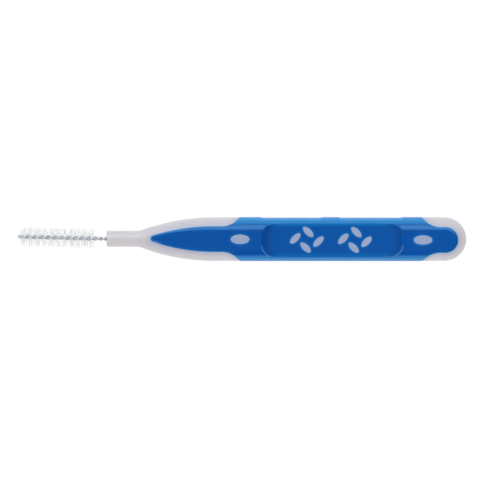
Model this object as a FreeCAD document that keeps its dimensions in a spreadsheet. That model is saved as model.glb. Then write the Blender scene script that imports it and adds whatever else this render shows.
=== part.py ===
import FreeCAD, Part
import Sketcher
import math
import os

# Interdental brush: a moulded handle core with an overmoulded grip sleeve, and a twisted
# hairpin wire whose bristle filaments are nipped between its two strands.
#
# All drawing is done in the handle's own frame: X runs from the neck's mouth (0) to the butt,
# Y is across the handle, and Z = 0 is its mid plane. The brush reaches out along -X. set_down()
# then moves each piece so that the row's origin is under the middle of the whole brush, with the
# handle lying flat: +X towards the butt, +Z up.

DOC = FreeCAD.newDocument("interdental_brush")

SIZES = (
    # handle core
    ("handle_length", 57.7),         # neck's mouth to butt
    ("handle_width", 7.0),
    ("handle_thickness", 4.4),
    ("neck_width", 2.5),
    ("neck_thickness", 2.4),
    ("neck_length", 5.2),
    ("flare_length", 12.0),          # from the neck to the full section
    # grip sleeve
    ("skin_thickness", 0.8),         # elastomer over the core
    ("sleeve_stand", 0.05),          # how far the elastomer stands proud of the core
    ("cheek_inset", 1.45),           # core's edge to the tongue's edge, in plan
    ("tongue_nose_radius", 0.68),
    ("front_wrap_gap", 1.25),        # flare's end to where the front tongue starts to spread
    ("rear_wrap_gap", 4.2),          # butt to where the rear tongue starts to spread
    ("wrap_radius", 3.5),
    ("tongue_end_gap", 1.3),         # butt to the rear tongue's end
    # thumb pads, one on each face
    ("pad_front_gap", 7.6),          # flare's end to the pad
    ("pad_rear_gap", 10.0),          # butt to the pad
    ("pad_width", 5.3),
    ("pad_depth", 0.45),             # below the core's top face
    ("pad_corner_radius", 2.0),
    # windows in the sleeve, filled by bosses of the core
    ("oval_length", 3.05),
    ("oval_width", 1.55),
    ("front_oval_gap", 4.2),         # flare's end to the oval's middle
    ("rear_oval_gap", 6.9),          # butt to the oval's middle
    ("petal_length", 2.25),
    ("petal_width", 0.95),
    ("petal_slant", 45.0),           # degrees from the handle's length
    ("petal_side_step", 1.89),       # flower's middle to its fore and aft petals
    ("petal_cross_step", 1.26),      # flower's middle to its left and right petals
    ("petal_shear", 0.2),            # each petal's shift off the flower's own axes
    ("flower_spacing", 7.7),
    ("flower_shift", -0.13),         # pad's middle to the middle of its two flowers
    # twisted wire
    ("wire_diameter", 0.32),
    ("brush_reach", 14.3),           # neck's mouth to the hairpin's tip
    ("wire_tail", 8.0),              # length moulded into the neck
    ("bare_pitch", 1.6),
    ("bare_gap", 0.01),              # between the strands where they close up
    ("nip_pitch", 2.17),             # one turn where the strands hold bristles
    ("nip_gap", 0.1),                # between the strands where they hold bristles
    ("opening_length", 0.8),         # over which the strands part or close
    ("wire_set", 1.2),               # degrees the brush leans towards +Y
    ("bore_clearance", 0.01),        # radial, wire to core
    # bristles
    ("bristle_start", 2.0),          # neck's mouth to the first filament
    ("crest_reach", 2.41),           # neck's mouth to the first filament that lies along Y
    ("brush_diameter", 3.15),
    ("nip_clearance", 0.005),        # filament to strand
)
ROW_COUNT = 11
FILAMENTS_PER_ROW = 10
FLARE_STATIONS = 4
CORNERS_PER_TURN = 8        # of the wire's route
HAIRPIN_RUNS = 6
ARC_SHARE = 0.45            # of a run, taken by the arc at each of its ends
LEAST_TURN = 0.0001         # radians, under which two runs are one


def make_sheet():
    """The spreadsheet that holds every driving size under its own alias."""
    sheet = DOC.addObject("Spreadsheet::Sheet", "Sizes")
    for row, (alias, value) in enumerate(SIZES, start=1):
        sheet.set(f"A{row}", alias)
        sheet.set(f"B{row}", str(value))
        sheet.setAlias(f"B{row}", alias)
    DOC.recompute()
    return sheet


SHEET = make_sheet()


def size(alias):
    return float(SHEET.get(alias))


def bind(thing, prop, formula):
    """Bind a property to a formula in the sheet's aliases, each written as [alias]."""
    thing.setExpression(prop, formula.replace("[", "Sizes.").replace("]", ""))


# ---- where the handle's frame sits in the row's frame -------------------------------------------

MIDDLE_X = "([brush_reach] - [handle_length]) / 2"
MIDDLE_Z = "([handle_thickness] / 2 + [sleeve_stand])"


def set_down(thing, along="0", across="0", up="0"):
    """Place a drawn piece: its own shift in the handle's frame, then the handle's frame itself."""
    bind(thing, "Placement.Base.x", f"{MIDDLE_X} + {along}")
    bind(thing, "Placement.Base.y", across)
    bind(thing, "Placement.Base.z", f"{MIDDLE_Z} + {up}")


def row_frame_shift():
    middle_x = (size("brush_reach") - size("handle_length")) / 2
    return FreeCAD.Vector(middle_x, 0, size("handle_thickness") / 2 + size("sleeve_stand"))


# ---- sketches -----------------------------------------------------------------------------------

def new_body(name):
    body = DOC.addObject("PartDesign::Body", name)
    set_down(body)
    return body


def origin_plane(body, role):
    return next(f for f in body.Origin.OriginFeatures if f.Role == role)


def new_sketch(body, name, plane, offset_axis=None, offset="0"):
    """A sketch on one of the body's origin planes, shifted along one axis of that plane."""
    sketch = body.newObject("Sketcher::SketchObject", name)
    sketch.AttachmentSupport = [(origin_plane(body, plane), "")]
    sketch.MapMode = "FlatFace"
    if offset_axis:
        bind(sketch, f"AttachmentOffset.Base.{offset_axis}", offset)
    return sketch


def as_drawn(sketch, kind, where):
    """The size that a dimension has in the sketch as first drawn."""
    if kind == "Radius":
        return sketch.Geometry[where[0]].Radius
    step = sketch.getPoint(*where[2:]) - sketch.getPoint(*where[:2])
    return step.x if kind == "DistanceX" else step.y


def drive(sketch, name, formula, kind, *where):
    """A named dimension of the sketch, bound to a formula."""
    value = as_drawn(sketch, kind, where)
    index = sketch.addConstraint(Sketcher.Constraint(kind, *where, value))
    sketch.renameConstraint(index, name)
    bind(sketch, f"Constraints.{name}", formula)


def line(start, end):
    return Part.LineSegment(FreeCAD.Vector(*start, 0), FreeCAD.Vector(*end, 0))


def arc(centre, radius, start_angle, end_angle):
    circle = Part.Circle(FreeCAD.Vector(*centre, 0), FreeCAD.Vector(0, 0, 1), radius)
    return Part.ArcOfCircle(circle, math.radians(start_angle), math.radians(end_angle))


# ---- the handle's bar: neck, flare, body and butt -----------------------------------------------

FLARE_END = "([neck_length] + [flare_length])"
BUTT_CENTRE = "([handle_length] - [handle_width] / 2)"
RISE = "(([handle_width] - [neck_width]) / 2)"
FLARE_RADIUS = f"(([flare_length] ^ 2 + {RISE} ^ 2) / (2 * {RISE}))"


def flare_half(full, neck, back):
    """Half size on the flare, `back` before its end: an arc that runs out level at the end."""
    rise = f"(([{full}] - [{neck}]) / 2)"
    radius = f"(([flare_length] ^ 2 + {rise} ^ 2) / (2 * {rise}))"
    return f"([{full}] / 2 - {radius} + sqrt({radius} ^ 2 - ({back}) ^ 2))"


def section(body, name, station, half_width, half_thickness, inset):
    """A bar section: two flats joined by two half rounds, across the handle at a station."""
    sketch = new_sketch(body, name, "YZ_Plane", "z", station)
    sketch.addGeometry([line((-1, 2), (1, 2)), arc((1, 0), 2, -90, 90),
                        line((1, -2), (-1, -2)), arc((-1, 0), 2, 90, 270)])
    for ends in ((0, 2, 1, 2), (1, 1, 2, 1), (2, 2, 3, 2), (3, 1, 0, 1)):
        sketch.addConstraint(Sketcher.Constraint("Tangent", *ends))
    sketch.addConstraint(Sketcher.Constraint("Horizontal", 0))
    sketch.addConstraint(Sketcher.Constraint("Horizontal", 2))
    sketch.addConstraint(Sketcher.Constraint("Symmetric", 3, 3, 1, 3, -1, 1))
    drive(sketch, "flat", f"2 * ({half_width} - {half_thickness})", "DistanceX", 3, 3, 1, 3)
    drive(sketch, "round", f"{half_thickness} - {inset}", "Radius", 1)
    return sketch


def make_bar(name, inset):
    """The handle's whole bar as one body, its surface `inset` under the core's own surface."""
    body = new_body(name)
    neck_sizes = ("[neck_width] / 2", "[neck_thickness] / 2")
    full_sizes = ("[handle_width] / 2", "[handle_thickness] / 2")

    neck = body.newObject("PartDesign::Pad", f"{name}_neck")
    neck.Profile = section(body, f"{name}_mouth_section", "0", *neck_sizes, inset)
    bind(neck, "Length", "[neck_length]")

    stations = []
    for step in range(FLARE_STATIONS + 1):
        along = f"[flare_length] * {step} / {FLARE_STATIONS}"
        back = f"[flare_length] * {FLARE_STATIONS - step} / {FLARE_STATIONS}"
        sizes = (flare_half("handle_width", "neck_width", back),
                 flare_half("handle_thickness", "neck_thickness", back))
        stations.append(section(body, f"{name}_flare_section_{step}",
                                f"[neck_length] + {along}", *sizes, inset))
    flare = body.newObject("PartDesign::AdditiveLoft", f"{name}_flare")
    flare.Profile = stations[0]
    flare.Sections = stations[1:]

    straight = body.newObject("PartDesign::Pad", f"{name}_straight")
    straight.Profile = section(body, f"{name}_full_section", FLARE_END, *full_sizes, inset)
    bind(straight, "Length", f"{BUTT_CENTRE} - {FLARE_END}")

    butt = body.newObject("PartDesign::Revolution", f"{name}_butt")
    butt.Profile = butt_profile(body, f"{name}_butt_profile", inset)
    butt.ReferenceAxis = (butt.Profile[0], ["V_Axis"])
    butt.Angle = 180
    butt.Midplane = True
    return body


def butt_profile(body, name, inset):
    """Half of the full section, upright on the axis that the butt is turned about."""
    sketch = new_sketch(body, name, "XZ_Plane", "x", BUTT_CENTRE)
    sketch.addGeometry([line((0, 2), (1, 2)), arc((1, 0), 2, -90, 90),
                        line((1, -2), (0, -2)), line((0, -2), (0, 2))])
    for ends in ((0, 2, 1, 2), (1, 1, 2, 1)):
        sketch.addConstraint(Sketcher.Constraint("Tangent", *ends))
    for ends in ((2, 2, 3, 1), (3, 2, 0, 1)):
        sketch.addConstraint(Sketcher.Constraint("Coincident", *ends))
    for end in (1, 2):
        sketch.addConstraint(Sketcher.Constraint("PointOnObject", 3, end, -2))
    sketch.addConstraint(Sketcher.Constraint("PointOnObject", 1, 3, -1))
    sketch.addConstraint(Sketcher.Constraint("Horizontal", 0))
    sketch.addConstraint(Sketcher.Constraint("Horizontal", 2))
    drive(sketch, "flat", "([handle_width] - [handle_thickness]) / 2", "DistanceX", -1, 1, 1, 3)
    drive(sketch, "round", f"[handle_thickness] / 2 - {inset}", "Radius", 1)
    return sketch


# ---- what the grip sleeve covers ----------------------------------------------------------------

def make_grip_region():
    """A tall block over the area of the grip sleeve: two tongues joined by a full-width middle."""
    body = new_body("grip_region")
    sketch = new_sketch(body, "grip_outline", "XY_Plane")
    nose = size("tongue_nose_radius")
    inset = size("cheek_inset")
    wrap = size("wrap_radius")
    half = size("handle_width") / 2
    flare_end = size("neck_length") + size("flare_length")
    rise = (size("handle_width") - size("neck_width")) / 2
    side_radius = (size("flare_length") ** 2 + rise ** 2) / (2 * rise) - inset
    side_centre = (flare_end, half - inset - side_radius)
    tongue = half - inset
    nose_reach = math.sqrt((side_radius - nose) ** 2 - side_centre[1] ** 2)
    nose_centre = (flare_end - nose_reach, 0)
    side_angle = math.degrees(math.atan2(-side_centre[1], -nose_reach))
    nose_end = (nose_centre[0] - nose, 0)
    front = (flare_end + size("front_wrap_gap"), tongue)
    rear = (size("handle_length") - size("rear_wrap_gap"), tongue)
    top = tongue + wrap
    end_centre = (size("handle_length") - size("tongue_end_gap") - tongue, 0)
    end = (end_centre[0] + tongue, 0)
    sketch.addGeometry([
        arc(nose_centre, nose, side_angle, 180),
        arc(side_centre, side_radius, 90, side_angle),
        line((flare_end, tongue), front),
        arc((front[0], top), wrap, 270, 360),
        line((front[0] + wrap, top), (rear[0] - wrap, top)),
        arc((rear[0], top), wrap, 180, 270),
        line(rear, (end_centre[0], tongue)),
        arc(end_centre, tongue, 0, 90),
        line(end, nose_end),
    ])
    for ends in ((0, 1, 1, 2), (1, 1, 2, 1), (2, 2, 3, 1), (5, 2, 6, 1), (6, 2, 7, 2)):
        sketch.addConstraint(Sketcher.Constraint("Tangent", *ends))
    for ends in ((3, 2, 4, 1), (4, 2, 5, 1), (7, 1, 8, 1), (8, 2, 0, 2)):
        sketch.addConstraint(Sketcher.Constraint("Coincident", *ends))
    for point in ((0, 3), (7, 3), (8, 1), (8, 2)):
        sketch.addConstraint(Sketcher.Constraint("PointOnObject", *point, -1))
    for level in ((2,), (6,), (4,), (3, 3, 3, 2), (5, 3, 5, 1)):
        sketch.addConstraint(Sketcher.Constraint("Horizontal", *level))
    drive(sketch, "nose", "[tongue_nose_radius]", "Radius", 0)
    drive(sketch, "side", f"{FLARE_RADIUS} - [cheek_inset]", "Radius", 1)
    drive(sketch, "side_along", FLARE_END, "DistanceX", -1, 1, 1, 3)
    drive(sketch, "tongue", "[handle_width] / 2 - [cheek_inset]", "DistanceY", -1, 1, 2, 1)
    drive(sketch, "front_wrap", "[wrap_radius]", "Radius", 3)
    drive(sketch, "rear_wrap", "[wrap_radius]", "Radius", 5)
    drive(sketch, "front_along", f"{FLARE_END} + [front_wrap_gap]", "DistanceX", -1, 1, 3, 3)
    drive(sketch, "rear_along", "[handle_length] - [rear_wrap_gap]", "DistanceX", -1, 1, 5, 3)
    drive(sketch, "end_along",
          "[handle_length] - [tongue_end_gap] - [handle_width] / 2 + [cheek_inset]",
          "DistanceX", -1, 1, 7, 3)
    half_block = body.newObject("PartDesign::Pad", "grip_region_half")
    half_block.Profile = sketch
    half_block.SideType = "Symmetric"
    bind(half_block, "Length", "2 * [handle_thickness]")
    whole = body.newObject("PartDesign::Mirrored", "grip_region_whole")
    whole.Originals = [half_block]
    whole.MirrorPlane = (origin_plane(body, "XZ_Plane"), [""])
    body.Tip = whole
    return body


# ---- thumb pads and windows ---------------------------------------------------------------------

PAD_START = f"({FLARE_END} + [pad_front_gap])"
PAD_END = "([handle_length] - [pad_rear_gap])"


def make_pad_pocket(name, turned):
    """A round-cornered block that sinks the thumb pad's flat floor into one face."""
    body = new_body(name)
    body.Placement.Rotation = FreeCAD.Rotation(FreeCAD.Vector(1, 0, 0), turned)
    floor = "[handle_thickness] / 2 - [pad_depth]"
    sketch = new_sketch(body, f"{name}_outline", "XY_Plane", "z", floor)
    low = size("neck_length") + size("flare_length") + size("pad_front_gap")
    high = size("handle_length") - size("pad_rear_gap")
    half = size("pad_width") / 2
    corner = size("pad_corner_radius")
    sketch.addGeometry([
        line((low + corner, -half), (high - corner, -half)),
        arc((high - corner, corner - half), corner, 270, 360),
        line((high, corner - half), (high, half - corner)),
        arc((high - corner, half - corner), corner, 0, 90),
        line((high - corner, half), (low + corner, half)),
        arc((low + corner, half - corner), corner, 90, 180),
        line((low, half - corner), (low, corner - half)),
        arc((low + corner, corner - half), corner, 180, 270),
    ])
    for edge in range(8):
        follower = (edge + 1) % 8
        sketch.addConstraint(Sketcher.Constraint("Tangent", edge, 2, follower, 1))
    for edge, way in ((0, "Horizontal"), (2, "Vertical"), (4, "Horizontal")):
        sketch.addConstraint(Sketcher.Constraint(way, edge))
    for other in (3, 5, 7):
        sketch.addConstraint(Sketcher.Constraint("Equal", 1, other))
    sketch.addConstraint(Sketcher.Constraint("Symmetric", 6, 1, 6, 2, -1))
    drive(sketch, "corner", "[pad_corner_radius]", "Radius", 1)
    drive(sketch, "start", PAD_START, "DistanceX", -1, 1, 6, 1)
    drive(sketch, "end", PAD_END, "DistanceX", -1, 1, 2, 1)
    drive(sketch, "width", "[pad_width]", "DistanceY", 0, 1, 4, 1)
    pocket = body.newObject("PartDesign::Pad", f"{name}_block")
    pocket.Profile = sketch
    bind(pocket, "Length", "[handle_thickness]")
    return body


def make_window(name, along, across, length, width, slant):
    """An oval plug right through the handle, turned in plan, for one window in the sleeve."""
    outline = DOC.addObject("Part::Ellipse", f"{name}_outline")
    bind(outline, "MajorRadius", f"{length} / 2")
    bind(outline, "MinorRadius", f"{width} / 2")
    outline.Placement.Rotation = FreeCAD.Rotation(FreeCAD.Vector(0, 0, 1), size("petal_slant"))
    bind(outline, "Placement.Rotation.Angle", slant)
    set_down(outline, along, across)
    plug = DOC.addObject("Part::Extrusion", name)
    plug.Base = outline
    plug.DirMode = "Custom"
    plug.Dir = FreeCAD.Vector(0, 0, 1)
    plug.Symmetric = True
    plug.Solid = True
    bind(plug, "LengthFwd", "2 * [handle_thickness]")
    return plug


def make_windows():
    """Two plain ovals on the tongues, and two flowers of four petals in the thumb pad."""
    ovals = (("front_oval", f"{FLARE_END} + [front_oval_gap]"),
             ("rear_oval", "[handle_length] - [rear_oval_gap]"))
    plugs = [make_window(name, along, "0", "[oval_length]", "[oval_width]", "0")
             for name, along in ovals]
    pad_middle = f"(({PAD_START} + {PAD_END}) / 2 + [flower_shift])"
    petals = (("fore", "-[petal_side_step]", "[petal_shear]", "[petal_slant]"),
              ("aft", "[petal_side_step]", "-[petal_shear]", "[petal_slant]"),
              ("left", "[petal_shear]", "[petal_cross_step]", "-[petal_slant]"),
              ("right", "-[petal_shear]", "-[petal_cross_step]", "-[petal_slant]"))
    for flower, side in (("front", "-"), ("rear", "+")):
        middle = f"{pad_middle} {side} [flower_spacing] / 2"
        for petal, along, across, slant in petals:
            plugs.append(make_window(f"{flower}_{petal}_petal", f"{middle} + {along}", across,
                                     "[petal_length]", "[petal_width]", slant))
    return compound("windows", plugs)


# ---- booleans -----------------------------------------------------------------------------------

def compound(name, pieces):
    group = DOC.addObject("Part::Compound", name)
    group.Links = pieces
    return group


def cut(name, base, tool):
    result = DOC.addObject("Part::Cut", name)
    result.Base = base
    result.Tool = tool
    return result


def common(name, *pieces):
    result = DOC.addObject("Part::MultiCommon", name)
    result.Shapes = list(pieces)
    return result


# ---- twisted wire -------------------------------------------------------------------------------

UP = FreeCAD.Vector(0, 0, 1)


def eased(share):
    """0 up to the start of a change, 1 past its end, with a soft start and finish."""
    share = min(max(share, 0), 1)
    return share * share * (3 - 2 * share)


def eased_sum(share):
    """The running total of eased(), which turns a changing pitch into a turn count."""
    if share <= 0:
        return 0
    inside = min(share, 1)
    return inside ** 3 - inside ** 4 / 2 + max(share - 1, 0)


def brush_frame(reach):
    """A point on the brush's own axis, `reach` out of the neck's mouth, and its directions."""
    lean = math.tan(math.radians(size("wire_set")))
    bend = size("opening_length")
    share = min(max(reach / bend, 0), 1)
    sideways = lean * (bend * share ** 2 / 2 + max(reach - bend, 0))
    slope = lean * share
    outward = FreeCAD.Vector(-1, slope, 0).normalize()
    across = FreeCAD.Vector(slope, 1, 0).normalize()
    return FreeCAD.Vector(-reach, sideways, 0), outward, across


def strand_offset(reach):
    """Axis to strand centre: closed up where the wire is bare, parted where it holds bristles."""
    opening = size("opening_length")
    parted = eased((reach - size("bristle_start") + opening) / opening)
    gap = size("bare_gap") + (size("nip_gap") - size("bare_gap")) * parted
    return (size("wire_diameter") + gap) / 2


def hairpin_reach():
    """Where the strands end and the hairpin's half round begins."""
    return size("brush_reach") - size("wire_diameter") / 2 - strand_offset(size("brush_reach"))


def turns(reach):
    """How often the wire has turned by `reach`: the pitch opens at the bristles, and the twist
    runs out just before the hairpin."""
    opening = size("opening_length")
    opened = eased_sum((reach - size("bristle_start") + opening) / opening) * opening
    run_out = eased_sum((reach - hairpin_reach() + opening) / opening) * opening
    bare_rate = 1 / size("bare_pitch")
    nip_rate = 1 / size("nip_pitch")
    return bare_rate * reach + (nip_rate - bare_rate) * opened - nip_rate * run_out


def strand_direction(reach):
    """From the axis to the first strand. At the crest the strands lie one above the other."""
    angle = 2 * math.pi * (turns(reach) - turns(size("crest_reach"))) + math.pi / 2
    across = brush_frame(reach)[2]
    return across * math.cos(angle) + UP * math.sin(angle)


def route_offset(reach):
    """Where a route's corner goes so that the runs between corners pass at the strand's offset."""
    return strand_offset(reach) / math.cos(math.pi / CORNERS_PER_TURN)


def strand_point(reach, side):
    return brush_frame(reach)[0] + strand_direction(reach) * (side * route_offset(reach))


def wire_route():
    """Corners along the one wire: out along a strand, round the hairpin, back along the other."""
    start = -size("wire_tail")
    end = hairpin_reach()
    steps = math.ceil((end - start) / size("bare_pitch") * CORNERS_PER_TURN)
    reaches = [start + (end - start) * step / steps for step in range(steps + 1)]
    middle, outward, _ = brush_frame(end)
    bow = strand_direction(end)
    radius = route_offset(end)
    hairpin = []
    for step in range(1, HAIRPIN_RUNS):
        angle = math.pi * step / HAIRPIN_RUNS
        hairpin.append(middle + (bow * math.cos(angle) + outward * math.sin(angle)) * radius)
    out = [strand_point(reach, 1) for reach in reaches]
    back = [strand_point(reach, -1) for reach in reversed(reaches)]
    return out + hairpin + back


def rounded_path(corners):
    """Straight runs joined by tangent arcs, each arc as large as its two runs allow."""
    edges = []
    run_start = corners[0]
    for before, corner, after in zip(corners, corners[1:], corners[2:]):
        trim = ARC_SHARE * min((before - corner).Length, (after - corner).Length)
        back = (before - corner).normalize()
        onward = (after - corner).normalize()
        turn = math.pi - back.getAngle(onward)
        if turn < LEAST_TURN:
            continue
        radius = trim / math.tan(turn / 2)
        inward = (back + onward).normalize()
        top_of_arc = corner + inward * (radius / math.cos(turn / 2) - radius)
        arc_start = corner + back * trim
        arc_end = corner + onward * trim
        edges.append(Part.LineSegment(run_start, arc_start).toShape())
        edges.append(Part.Arc(arc_start, top_of_arc, arc_end).toShape())
        run_start = arc_end
    edges.append(Part.LineSegment(run_start, corners[-1]).toShape())
    return Part.Wire(edges)


def make_wire():
    path = DOC.addObject("Part::Feature", "wire_path")
    path.Shape = rounded_path(wire_route())
    path.Placement = FreeCAD.Placement(row_frame_shift(), FreeCAD.Rotation())
    profile = DOC.addObject("Part::Circle", "wire_profile")
    bind(profile, "Radius", "[wire_diameter] / 2")
    first = path.Shape.Edges[0]
    heading = first.tangentAt(first.FirstParameter)
    profile.Placement = FreeCAD.Placement(first.valueAt(first.FirstParameter),
                                          FreeCAD.Rotation(UP, heading))
    wire = DOC.addObject("Part::Sweep", "twisted_wire")
    wire.Sections = [profile]
    wire.Spine = (path, [f"Edge{number + 1}" for number in range(len(path.Shape.Edges))])
    wire.Solid = True
    wire.Frenet = False
    return wire


def make_bore():
    """The hole that the moulding leaves round the wire's tail."""
    bore = DOC.addObject("Part::Cylinder", "wire_bore")
    widest = f"([wire_diameter] + [bare_gap]) / 2 / cos(180 deg / {CORNERS_PER_TURN})"
    bind(bore, "Radius", f"{widest} + [wire_diameter] / 2 + [bore_clearance]")
    bind(bore, "Height", "[wire_tail] + [wire_diameter] / 2")
    bore.Placement.Rotation = FreeCAD.Rotation(UP, FreeCAD.Vector(1, 0, 0))
    set_down(bore)
    return bore


# ---- bristles -----------------------------------------------------------------------------------

def make_filament(name, reach):
    """One filament, nipped at its middle and square to the plane of the two strands."""
    filament = DOC.addObject("Part::Cylinder", name)
    bind(filament, "Radius", "[nip_gap] / 2 - [nip_clearance]")
    bind(filament, "Height", "[brush_diameter]")
    middle, outward, _ = brush_frame(reach)
    along = outward.cross(strand_direction(reach))
    foot = middle - along * (size("brush_diameter") / 2)
    filament.Placement = FreeCAD.Placement(foot + row_frame_shift(), FreeCAD.Rotation(UP, along))
    return filament


def make_bristle_rows():
    """One row for each half turn of the wire, because that is how far a visible ring reaches."""
    spacing = size("nip_pitch") / 2 / FILAMENTS_PER_ROW
    rows = []
    for row in range(ROW_COUNT):
        filaments = []
        for index in range(FILAMENTS_PER_ROW):
            number = row * FILAMENTS_PER_ROW + index
            reach = size("bristle_start") + (number + 0.5) * spacing
            filaments.append(make_filament(f"filament_{row + 1:02d}_{index + 1:02d}", reach))
        rows.append(compound(f"bristle_row_{row + 1:02d}", filaments))
    return rows


# ---- assembly -----------------------------------------------------------------------------------

def make_handle():
    """The core and the sleeve share one outline: the sleeve is what the core leaves free."""
    pads = compound("pad_pockets", [make_pad_pocket("top_pad_pocket", 0),
                                    make_pad_pocket("under_pad_pocket", 180)])
    covered = common("covered_bar", make_bar("sleeve_bar", "(-[sleeve_stand])"),
                     make_grip_region())
    sunk = cut("sunk_bar", covered, pads)
    skin = cut("whole_skin", sunk, make_bar("inner_bar", "[skin_thickness]"))
    sleeve = cut("grip_sleeve", skin, make_windows())
    core = cut("padded_core", make_bar("core_bar", "0"), pads)
    filled = cut("filled_core", core, sleeve)
    return [cut("handle_core", filled, make_bore()), sleeve]


def check(things):
    for thing in DOC.Objects:
        if "Invalid" in thing.State or "Error" in thing.State:
            raise RuntimeError(f"{thing.Name} failed: {thing.State}")
    for thing in things:
        if thing.Shape.isNull() or not thing.Shape.isValid() or not thing.Shape.Solids:
            raise RuntimeError(f"{thing.Label} has no valid solid")


def write(things):
    os.makedirs("parts", exist_ok=True)
    for thing in things:
        thing.Shape.exportStep(f"parts/{thing.Label}.step")


PIECES = make_handle() + [make_wire()] + make_bristle_rows()
DOC.recompute()
check(PIECES)
write(PIECES)
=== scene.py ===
import math

import bmesh
import bpy
import numpy as np
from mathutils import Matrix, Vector


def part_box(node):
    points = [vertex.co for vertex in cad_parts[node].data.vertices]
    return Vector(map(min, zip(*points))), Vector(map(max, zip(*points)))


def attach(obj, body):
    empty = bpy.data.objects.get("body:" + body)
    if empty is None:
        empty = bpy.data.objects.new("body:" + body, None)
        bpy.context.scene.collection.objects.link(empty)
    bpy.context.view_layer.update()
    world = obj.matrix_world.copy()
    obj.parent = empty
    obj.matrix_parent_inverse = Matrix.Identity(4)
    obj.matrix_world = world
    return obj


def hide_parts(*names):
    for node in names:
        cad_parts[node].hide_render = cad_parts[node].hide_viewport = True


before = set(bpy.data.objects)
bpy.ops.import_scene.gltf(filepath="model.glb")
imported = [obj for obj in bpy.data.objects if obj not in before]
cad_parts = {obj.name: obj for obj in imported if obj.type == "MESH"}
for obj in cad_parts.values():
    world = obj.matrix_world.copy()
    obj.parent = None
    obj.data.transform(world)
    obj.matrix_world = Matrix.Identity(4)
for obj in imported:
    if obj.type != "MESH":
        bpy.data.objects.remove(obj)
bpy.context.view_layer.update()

# Interdental brush: a white moulded handle core, a blue elastomer grip moulded over it, and a
# twisted steel wire that holds nylon bristles. Sizes below are millimetres in the handle's own
# frame: x from the neck's mouth to the butt, y across, z up from the handle's mid plane.


# ---- Twisted wire --------------------------------------------------------------------------------
# One length of bright drawn stainless steel wire, folded into a hairpin and twisted left-handed
# round itself. Its strands part slightly where they nip the bristles, and its two ends are moulded
# into the handle's neck.

MM = 0.001
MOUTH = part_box("handle_core")[0].x
MIDDLE_UP = (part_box("grip_sleeve")[0].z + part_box("grip_sleeve")[1].z) / 2


def set_down(points):
    """Millimetres in the handle's frame to metres in the frame of the whole brush."""
    return np.asarray(points, dtype=float) * MM + (MOUTH, 0, MIDDLE_UP)


def plain_mesh(name, points, faces, edges=()):
    mesh = bpy.data.meshes.new(name)
    mesh.from_pydata([tuple(p) for p in set_down(points)], edges, faces)
    mesh.update()
    piece = bpy.data.objects.new(name, mesh)
    bpy.context.scene.collection.objects.link(piece)
    return piece


def eased(share):
    share = np.clip(share, 0, 1)
    return share * share * (3 - 2 * share)


def eased_sum(share):
    inside = np.clip(share, 0, 1)
    return inside ** 3 - inside ** 4 / 2 + np.maximum(share - 1, 0)


WIRE_RADIUS = 0.165
WIRE_TAIL = 8.0
WIRE_STEP = 0.07
BRUSH_REACH = 14.3              # mouth to the hairpin's tip
STRANDS_PART = 0.8              # length over which the strands part or close
BARE_PITCH = 1.68
NIP_PITCH = 2.17
FIRST_BRISTLE = 2.0
FIRST_CREST = 2.41
STRANDS_CLEAR = 0.005           # from the axis to each bare strand
NIP_ROOM = 0.035                # more room between the strands, where they nip the filaments
BOW_OPEN = 0.05                 # how far the hairpin's bow stands open
BOW_STEPS = 10
HAIRPIN = BRUSH_REACH - 2 * WIRE_RADIUS - BOW_OPEN
LEAN = math.tan(math.radians(1.45))
NECK_OFF = 0.05                 # how far the neck and the wire's root sit off the middle line


def wire_axis(reach):
    """The brush's own axis, which leaves the mouth square and then leans a little to one side."""
    share = np.clip(reach / STRANDS_PART, 0, 1)
    side = LEAN * (STRANDS_PART * share ** 2 / 2 + np.maximum(reach - STRANDS_PART, 0))
    return np.stack([-reach, NECK_OFF + side, 0 * reach], axis=-1)


def strand_angle(reach):
    opened = eased_sum((reach - FIRST_BRISTLE + STRANDS_PART) / STRANDS_PART) * STRANDS_PART
    run_out = eased_sum((reach - HAIRPIN + STRANDS_PART) / STRANDS_PART) * STRANDS_PART
    turned = reach / BARE_PITCH + (1 / NIP_PITCH - 1 / BARE_PITCH) * opened - run_out / NIP_PITCH
    return 2 * math.pi * turned


def strand_side(reach):
    """Unit vectors from the axis to the first strand."""
    angle = strand_angle(reach) - strand_angle(np.float64(FIRST_CREST)) + math.pi / 2
    return np.stack([LEAN * np.cos(angle), np.cos(angle), np.sin(angle)], axis=-1)


def strand(reach, side):
    parted = eased((reach - FIRST_BRISTLE + STRANDS_PART) / STRANDS_PART)
    offset = WIRE_RADIUS + STRANDS_CLEAR + NIP_ROOM * parted
    return wire_axis(reach) + strand_side(reach) * (side * offset)[:, None]


reaches = np.linspace(-WIRE_TAIL, HAIRPIN, round((HAIRPIN + WIRE_TAIL) / WIRE_STEP))
round_tip = np.linspace(0, math.pi, BOW_STEPS + 1)[1:-1, None]
tip_side = strand_side(np.array([HAIRPIN]))
tip_out = np.array([[-1, LEAN, 0]])
bow = tip_side * np.cos(round_tip) + tip_out * np.sin(round_tip)
bow = wire_axis(np.array([HAIRPIN])) + bow * (WIRE_RADIUS + BOW_OPEN)
route = np.concatenate([strand(reaches, np.ones_like(reaches)), bow,
                        strand(reaches[::-1], -np.ones_like(reaches))])


def tree_input(tree, name, kind):
    return tree.interface.new_socket(name, in_out="INPUT", socket_type=f"NodeSocket{kind}")


def new_tree(name, inputs):
    """A geometry tree with one geometry in, one out, and named inputs for its sizes."""
    tree = bpy.data.node_groups.new(name, "GeometryNodeTree")
    tree.is_modifier = True
    tree_input(tree, "Base", "Geometry")
    for label, kind in inputs:
        tree_input(tree, label, kind)
    tree.interface.new_socket("Made", in_out="OUTPUT", socket_type="NodeSocketGeometry")
    return tree, tree.nodes.new("NodeGroupInput"), tree.nodes.new("NodeGroupOutput")


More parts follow.
